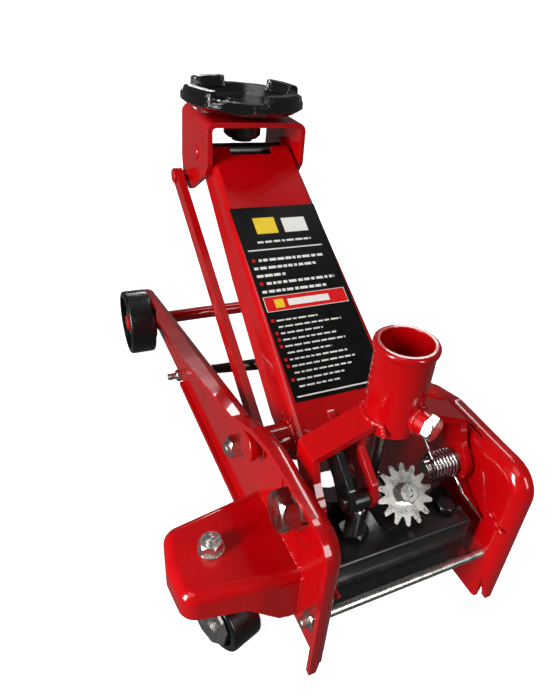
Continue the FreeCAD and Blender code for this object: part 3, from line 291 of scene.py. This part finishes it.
MATERIALS = {
    "red_paint": red_enamel(),
    "cheek_paint": enamel_with_painted_shade(),
    "black_paint": black_enamel("black_enamel", 0.36, 0.1),
    "saddle_paint": black_enamel("saddle_enamel", 0.09, 0.75),
    "zinc": plated("zinc_plate", (0.6, 0.6, 0.59), 0.27, (0.62, 0.6, 0.55)),
    "nickel": plated("nickel_plate", (0.44, 0.39, 0.37), 0.26, (0.5, 0.43, 0.4)),
    "bright_steel": plated("ground_steel", (0.62, 0.63, 0.65), 0.2, (0.64, 0.64, 0.64)),
    "spring_steel": plated("spring_wire", (0.62, 0.62, 0.64), 0.16, (0.55, 0.55, 0.56)),
    "oiled_spring": plated("oiled_spring_wire", (0.05, 0.048, 0.045), 0.3, (0.07, 0.06, 0.05)),
    "black_plastic": moulded_black(),
    "panel_film": film("panel_film", (0.002, 0.002, 0.002), 0.42),
    "pale_ink": film("pale_ink", (0.75, 0.74, 0.7)),
    "red_ink": film("red_ink", (0.62, 0.01, 0.012)),
    "yellow_ink": film("yellow_ink", (0.75, 0.55, 0.03)),
}


def dress_cad_nodes():
    """Give every CAD node its material."""
    slots = {s["node"]: s["material_slot"] for s in RECORD["subparts"]}
    special = {"saddle": "saddle_paint", "pump_cheeks": "cheek_paint"}
    for name, obj in frame["nodes"].items():
        material = MATERIALS[special.get(name, slots[name])]
        obj.data.materials.clear()
        obj.data.materials.append(material)


# ------------------------------------------------------------------ mesh builders

def finish_piece(mesh_name, bm, slot, body, smooth=True):
    mesh = bpy.data.meshes.new(mesh_name)
    bmesh.ops.recalc_face_normals(bm, faces=bm.faces)
    bm.to_mesh(mesh)
    bm.free()
    obj = bpy.data.objects.new(mesh_name, mesh)
    bpy.context.scene.collection.objects.link(obj)
    for polygon in mesh.polygons:
        polygon.use_smooth = smooth
    mesh.materials.append(MATERIALS[slot])
    if body:
        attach(obj, body)
    return obj


def frame_along(direction):
    """Two unit vectors square to the direction."""
    d = Vector(direction).normalized()
    side = Vector((0, 0, 1)) if abs(d.z) < 0.9 else Vector((1, 0, 0))
    u = d.cross(side).normalized()
    return u, d.cross(u)


def sweep(bm, points, radii, sides, closed=False, caps=True):
    """Tube through the points; radii is one number or one per point."""
    rings = []
    count = len(points)
    previous = None
    for i, point in enumerate(points):
        ahead = points[(i + 1) % count] if closed or i + 1 < count else point
        behind = points[i - 1] if closed or i > 0 else point
        tangent = (ahead - behind).normalized()
        if previous is None:
            u, _ = frame_along(tangent)
        else:
            u = (previous - tangent * previous.dot(tangent)).normalized()
        previous = u
        v = tangent.cross(u)
        radius = radii[i] if isinstance(radii, list) else radii
        ring = []
        for k in range(sides):
            a = 2 * math.pi * k / sides
            ring.append(bm.verts.new(point + (u * math.cos(a) + v * math.sin(a)) * radius))
        rings.append(ring)
    last = count if closed else count - 1
    for i in range(last):
        a, b = rings[i], rings[(i + 1) % count]
        for k in range(sides):
            n = (k + 1) % sides
            bm.faces.new((a[k], a[n], b[n], b[k]))
    if caps and not closed:
        bm.faces.new(rings[0])
        bm.faces.new(list(reversed(rings[-1])))


def weld_bead(name, points, size, body, slot="red_paint", seed=1):
    """Bead of overlapping puddles along the points."""
    rng = random.Random(seed)
    path, radii = [], []
    for i in range(len(points) - 1):
        steps = max(2, int((points[i + 1] - points[i]).length / (0.6 * MM)))
        for k in range(steps):
            path.append(points[i].lerp(points[i + 1], k / steps))
    path.append(points[-1])
    travelled = 0.0
    for i, point in enumerate(path):
        if i:
            travelled += (point - path[i - 1]).length
        ripple = 0.16 * math.sin(travelled / (2.6 * MM) * 2 * math.pi)
        end = min(1.0, 0.35 + min(i, len(path) - 1 - i) * 0.3)
        radii.append(size * (1 + ripple + rng.uniform(-0.07, 0.07)) * end)
    bm = bmesh.new()
    sweep(bm, path, radii, 12)
    return finish_piece(name, bm, slot, body)


def arc(centre, axis, radius, start, end, steps, from_dir):
    """Points round the axis, from start to end degrees, measured from from_dir."""
    axis = Vector(axis).normalized()
    u = (Vector(from_dir) - axis * Vector(from_dir).dot(axis)).normalized()
    v = axis.cross(u)
    points = []
    for i in range(steps + 1):
        a = math.radians(start + (end - start) * i / steps)
        points.append(Vector(centre) + (u * math.cos(a) + v * math.sin(a)) * radius)
    return points


def thread(name, start, end, radius, pitch, slot, body):
    """Helical thread on a rod from start to end, with a chamfered tip at end."""
    start, end = Vector(start), Vector(end)
    direction = (end - start).normalized()
    u, v = frame_along(direction)
    length = (end - start).length
    sides = 28
    rows = int(length / pitch * 6)
    bm = bmesh.new()
    rings = []
    for row in range(rows + 1):
        ring = []
        along = length * row / rows
        for k in range(sides):
            a = 2 * math.pi * k / sides
            turn = (along / pitch - k / sides) % 1.0
            crest = abs(turn * 2 - 1)
            depth = pitch * 0.5 * crest
            tip = max(0.0, along - (length - pitch * 1.3)) * 0.7
            r = radius - max(depth, tip)
            out = u * math.cos(a) + v * math.sin(a)
            ring.append(bm.verts.new(start + direction * along + out * r))
        rings.append(ring)
    for row in range(rows):
        a, b = rings[row], rings[row + 1]
        for k in range(sides):
            n = (k + 1) % sides
            bm.faces.new((a[k], a[n], b[n], b[k]))
    bm.faces.new(rings[0])
    bm.faces.new(list(reversed(rings[-1])))
    return finish_piece(name, bm, slot, body)


# ------------------------------------------------------------------------ pieces

def torsion_spring():
    """Close coils round the right yoke bolt, one leg to the strap, one to the plate."""
    lo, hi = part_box("torsion_spring")
    wire = 1.15 * MM
    radius = (hi[2] - lo[2]) / 2 - wire
    turns = 6.6
    x0, x1 = lo[0] + wire, hi[0] - wire
    coil = []
    steps = int(turns * 28)
    for i in range(steps + 1):
        a = math.radians(95) + 2 * math.pi * turns * i / steps
        x = x0 + (x1 - x0) * i / steps
        coil.append(YOKE_PIVOT + Vector((x, radius * math.cos(a), radius * math.sin(a))))
    strap_leg = [YOKE_PIVOT + Vector((x * MM, y * MM, z * MM)) for x, y, z in STRAP_LEG]
    plate_leg = [YOKE_PIVOT + Vector((x * MM, y * MM, z * MM)) for x, y, z in PLATE_LEG]
    bm = bmesh.new()
    sweep(bm, strap_leg + coil + plate_leg, wire, 12)
    obj = finish_piece("torsion_spring_coil", bm, "spring_steel", None)
    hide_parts("torsion_spring")
    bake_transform(obj)


def return_springs():
    """Long extension springs with a hook at each end, dark with oil."""
    lo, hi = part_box("return_springs")
    wire, radius = 1.2 * MM, 4.8 * MM
    across = hi[0] - radius - wire
    pin, bolt = middle("spring_pin"), middle("front_tie_bolt")
    for side, sign in (("left", -1), ("right", 1)):
        top = Vector((sign * across, pin.y, pin.z))
        low = Vector((sign * across, bolt.y, bolt.z))
        direction = (low - top).normalized()
        u, v = frame_along(direction)
        hook = 13 * MM
        coil_length = (low - top).length - 2 * hook
        turns = int(coil_length / (2.35 * wire))
        points = []
        for i in range(turns * 14 + 1):
            a = 2 * math.pi * i / 14
            along = hook + coil_length * i / (turns * 14)
            points.append(top + direction * along + (u * math.cos(a) + v * math.sin(a)) * radius)
        first = hook_points(top, direction)
        last = hook_points(low, -direction)
        bm = bmesh.new()
        sweep(bm, first + points + list(reversed(last)), wire, 8)
        obj = finish_piece(side + "_return_spring_coil", bm, "oiled_spring", None)
        if side == "left":
            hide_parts("return_springs")
        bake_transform(obj)


def hook_points(pin, direction):
    """Round hook over a pin that lies across the spring."""
    side = direction.cross(Vector((1, 0, 0))).normalized()
    points = []
    for i in range(10):
        a = math.radians(-150 + 30 * i)
        points.append(pin + (direction * -math.cos(a) + side * math.sin(a)) * (5.6 * MM) * -1)
    points.append(pin + direction * 9 * MM + side * 2 * MM)
    return points


def strap_welds():
    """Beads where the strap meets the socket, and round the clamp boss."""
    lo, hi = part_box("handle_socket")
    strap_lo, strap_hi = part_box("yoke_strap")
    bolt = middle("clamp_bolt")
    axis = Vector(RECORD["mounts"][0]["pos_m"])
    radius = 22.8 * MM
    for side, sign in (("left", -1), ("right", 1)):
        points = []
        for i in range(15):
            a = math.radians(-38 + 82 * i / 14)
            x = sign * radius * math.cos(a)
            drop = max(0.0, abs(x) - 20 * MM) * 0.41
            points.append(Vector((x, axis.y + radius * math.sin(a), strap_hi[2] - drop + 0.2 * MM)))
        rear = Vector((points[0].x, strap_lo[1] + 11 * MM, strap_hi[2] - 7 * MM))
        weld_bead(side + "_socket_weld", [rear] + points, 2.2 * MM, "handle_yoke", seed=3 + sign)
    out = Vector((bolt.x, bolt.y - axis.y, 0)).normalized()
    foot = Vector((0, axis.y, bolt.z)) + out * 22.4 * MM
    ring = arc(foot, out, 9.9 * MM, 0, 360, 30, (0, 0, 1))
    weld_bead("clamp_boss_weld", ring, 1.6 * MM, "handle_yoke", seed=9)


def arm_welds():
    """Rough beads and spatter where the lift arm is welded round its shaft."""
    for side, sign in (("left", -1), ("right", 1)):
        x = sign * 53.6 * MM
        centre = Vector((x, ARM_PIVOT.y, ARM_PIVOT.z))
        ring = arc(centre, (1, 0, 0), 13.6 * MM, 0, 360, 36, (0, 0, 1))
        weld_bead(side + "_arm_shaft_weld", ring, 2.4 * MM, "lift_arm", seed=20 + sign)
        rng = random.Random(40 + sign)
        for k in range(5):
            a = math.radians(rng.uniform(20, 110))
            reach = rng.uniform(17, 22) * MM
            spot = Vector((x, ARM_PIVOT.y + reach * math.cos(a), ARM_PIVOT.z + reach * math.sin(a)))
            tip = spot + Vector((0, 2.2 * MM, 0.8 * MM))
            size = rng.uniform(0.7, 1.2) * MM
            weld_bead(f"{side}_arm_spatter_{k}", [spot, tip], size, "lift_arm", seed=k)


def plate_welds():
    """Short beads on the plates: bracket seams and unit tabs."""
    for side, sign in (("left", -1), ("right", 1)):
        lo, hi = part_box(side + "_caster_bracket")
        plate_x = sign * PLATE_OUT
        seam = [Vector((plate_x, lo[1] + 6 * MM, hi[2])), Vector((plate_x, hi[1] - 8 * MM, hi[2]))]
        weld_bead(side + "_bracket_top_weld", seam, 1.5 * MM, "chassis", seed=50 + sign)
        rear = [Vector((plate_x, lo[1], hi[2] - 3 * MM)), Vector((plate_x, lo[1], lo[2] + 4 * MM))]
        weld_bead(side + "_bracket_rear_weld", rear, 1.5 * MM, "chassis", seed=60 + sign)
        for k, (y, z) in enumerate(TAB_WELDS):
            spot = Vector((sign * (PLATE_IN - 0.3 * MM), YOKE_PIVOT.y + y * MM, z * MM))
            points = [spot, spot + Vector((0, -7 * MM, -1.5 * MM))]
            weld_bead(f"{side}_tab_weld_{k}", points, 1.9 * MM, "chassis", seed=70 + k)


def axle_welds():
    for side, sign in (("left", -1), ("right", 1)):
        for name, x, r in (("outer", 79.6, 14.2), ("inner", 73.4, 8.2)):
            centre = Vector((sign * x * MM, middle("front_axle").y, middle("front_axle").z))
            ring = arc(centre, (1, 0, 0), r * MM, 0, 360, 30, (0, 0, 1))
            weld_bead(f"{side}_axle_{name}_weld", ring, 1.6 * MM, "chassis", seed=int(r) + sign)


def bolt_threads():
    """Threaded ends that stand out of the nuts."""
    rod = middle("rear_tie_rod")
    tie = middle("front_tie_bolt")
    link = middle("link_nuts")
    caster = joint_place("right_caster_swivel")
    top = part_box("caster_bolts")[1][2] + 0.1 * MM
    for side, sign in (("left", -1), ("right", 1)):
        for name, at, x0, x1, r, pitch in (
            ("tie_rod", rod, 88.2, 94.2, 4.15, 1.25),
            ("tie_bolt", tie, 85.7, 96.2, 4.15, 1.25),
            ("link_bolt", link, 91.4, 95.2, 6.15, 1.75),
        ):
            start = Vector((sign * x0 * MM, at.y, at.z))
            end = Vector((sign * x1 * MM, at.y, at.z))
            thread(f"{side}_{name}_thread", start, end, r * MM, pitch * MM, "zinc", "chassis")
        x, y = sign * caster.x, caster.y
        thread(
            side + "_caster_bolt_thread", (x, y, top - 5 * MM), (x, y, top),
            5.15 * MM, 1.5 * MM, "zinc", "chassis",
        )


def panel_mark(bm, x0, x1, s0, s1, lift):
    """Thin printed patch on the panel, from s0 to s1 down the arm."""
    corners = [(x0, s0), (x1, s0), (x1, s1), (x0, s1)]
    top = [bm.verts.new(on_arm(x * MM, s * MM, lift)) for x, s in corners]
    bottom = [bm.verts.new(on_arm(x * MM, s * MM, lift - 0.12 * MM)) for x, s in corners]
    bm.faces.new(top)
    bm.faces.new(list(reversed(bottom)))
    for i in range(4):
        n = (i + 1) % 4
        bm.faces.new((top[i], bottom[i], bottom[n], top[n]))


def panel_print():
    """Plain bars on the information panel: no lettering."""
    lift = ARM_TOP + 0.75 * MM
    over = lift + 0.06 * MM
    rng = random.Random(5)
    pale, red, yellow = bmesh.new(), bmesh.new(), bmesh.new()
    panel_mark(yellow, -26, -4, 194, 213, lift)
    panel_mark(pale, 3, 28, 194, 211, lift)
    dashes(pale, rng, -29, 27, 183.5, 4.4, lift)
    panel_mark(pale, -41, 36, 175.2, 176.6, lift)
    for row, s in enumerate(FIRST_ROWS):
        start = -34 if row in (0, 3) else -41
        if start == -34:
            panel_mark(red, -40.5, -37.5, s, s + 3.4, lift)
        dashes(pale, rng, start, (34, 22, -12, 36, 24)[row], s, 5.6, lift)
    panel_mark(pale, -42.6, 40.6, 109.2, 125.2, lift)
    panel_mark(red, -42, 40, 109.8, 124.6, over)
    panel_mark(yellow, -33, -24, 112.5, 121.5, over + 0.05 * MM)
    panel_mark(pale, -20, 22, 113.5, 120.5, over + 0.05 * MM)
    for row in range(11):
        s = 99 - 6.5 * row
        bullet = row in (0, 2, 3, 4, 6, 7, 9)
        if bullet:
            panel_mark(red, -42, -39.2, s - 0.2, s + 2.8, lift)
        dashes(pale, rng, -37, rng.uniform(2, 30), s, 3.2, lift)
    panel_mark(pale, -42, 30, 25.2, 26.6, lift)
    for name, bm in (("pale", pale), ("red", red), ("yellow", yellow)):
        finish_piece("panel_marks_" + name, bm, name + "_ink", "lift_arm", smooth=False)


def dashes(bm, rng, x0, x1, s, height, lift):
    """Row of short dashes of uneven length."""
    x = x0
    while x < x1:
        width = rng.uniform(3.0, 8.0)
        panel_mark(bm, x, min(x + width, x1), s, s + height * 0.5, lift)
        x += width + rng.uniform(1.2, 1.9)


# ------------------------------------------------------------------- light, camera

def studio():
    """Pale floor that curves up far away, soft key from the left, dim surround.

    The floor glows a little, and neither lights the jack nor shows in its reflections.
    """
    bm = bmesh.new()
    rings = []
    for radius, height in FLOOR_RINGS:
        ring = []
        for i in range(FLOOR_SIDES):
            a = 2 * math.pi * i / FLOOR_SIDES
            ring.append(bm.verts.new((radius * math.cos(a), radius * math.sin(a), height)))
        rings.append(ring)
    bm.faces.new(rings[0])
    for inner, outer in zip(rings, rings[1:]):
        for i in range(FLOOR_SIDES):
            k = (i + 1) % FLOOR_SIDES
            bm.faces.new((inner[i], outer[i], outer[k], inner[k]))
    mesh = bpy.data.meshes.new("studio_floor")
    bm.to_mesh(mesh)
    bm.free()
    floor = bpy.data.objects.new("studio_floor", mesh)
    bpy.context.scene.collection.objects.link(floor)
    m = Nodes("floor_paint", (0.9, 0.9, 0.9), 0.0, 0.9)
    floor.visible_diffuse = False
    floor.visible_glossy = False
    m.set("Specular IOR Level", 0.0)
    m.set("Emission Color", (1, 1, 1, 1))
    m.set("Emission Strength", 0.9)
    m.link(m.grey(m.noise(3), [(0.3, 0.89), (0.7, 0.91)]), m.shader.inputs["Base Color"])
    floor.data.materials.append(m.material)
    world = bpy.data.worlds.new("studio_world")
    bpy.context.scene.world = world
    world.use_nodes = True
    background = world.node_tree.nodes["Background"]
    background.inputs["Color"].default_value = (1, 1, 1, 1)
    background.inputs["Strength"].default_value = 0.09
    add_area("key", (-1.8, -0.55, 0.7), (0, 0.05, 0.15), 0.5, 1.3, 60)
    add_area("rear", (0.5, -1.5, 0.9), (0, 0.05, 0.15), 0.3, 0.9, 9)
    add_area("strip", (0.9, 0.9, 1.6), (0, 0.05, 0.15), 0.2, 1.6, 9)
    add_area("saddle_glint", (0.25, 1.5, 0.75), (0, 0.1, 0.33), 0.3, 0.25, 2.5)
    sun = bpy.data.lights.new("overhead", "SUN")
    sun.energy = 0.4
    sun.angle = math.radians(35)
    obj = bpy.data.objects.new("overhead", sun)
    bpy.context.scene.collection.objects.link(obj)
    obj.rotation_mode = "QUATERNION"
    obj.rotation_quaternion = Vector((0.45, 0.2, -1)).to_track_quat("-Z", "Y")
    bpy.context.scene.view_settings.view_transform = "Standard"


def add_area(name, place, target, width, height, power):
    light = bpy.data.lights.new(name, "AREA")
    light.shape = "RECTANGLE"
    light.size, light.size_y = width, height
    light.energy = power
    obj = bpy.data.objects.new(name, light)
    bpy.context.scene.collection.objects.link(obj)
    obj.location = place
    obj.rotation_mode = "QUATERNION"
    obj.rotation_quaternion = (Vector(target) - Vector(place)).to_track_quat("-Z", "Y")


def camera():
    """Above and behind the left rear corner, rolled a little."""
    azimuth, elevation, roll = math.radians(30.0), math.radians(33.6), math.radians(7.1)
    forward = Vector((
        math.sin(azimuth) * math.cos(elevation),
        math.cos(azimuth) * math.cos(elevation),
        -math.sin(elevation),
    ))
    right = Vector((math.cos(azimuth), -math.sin(azimuth), 0))
    up = right.cross(forward)
    across = right * math.cos(roll) + up * math.sin(roll)
    upward = up * math.cos(roll) - right * math.sin(roll)
    data = bpy.data.cameras.new("camera")
    data.lens, data.sensor_width = 29.74, 36.0
    data.shift_x, data.shift_y = -0.0567, 0.0117
    obj = bpy.data.objects.new("camera", data)
    bpy.context.scene.collection.objects.link(obj)
    axes = Matrix((across, upward, -forward)).transposed().to_4x4()
    obj.matrix_world = Matrix.Translation((-0.2239, -0.46865, 0.4641)) @ axes
    bpy.context.scene.camera = obj


dress_cad_nodes()
torsion_spring()
return_springs()
strap_welds()
arm_welds()
plate_welds()
axle_welds()
bolt_threads()
panel_print()
studio()
camera()
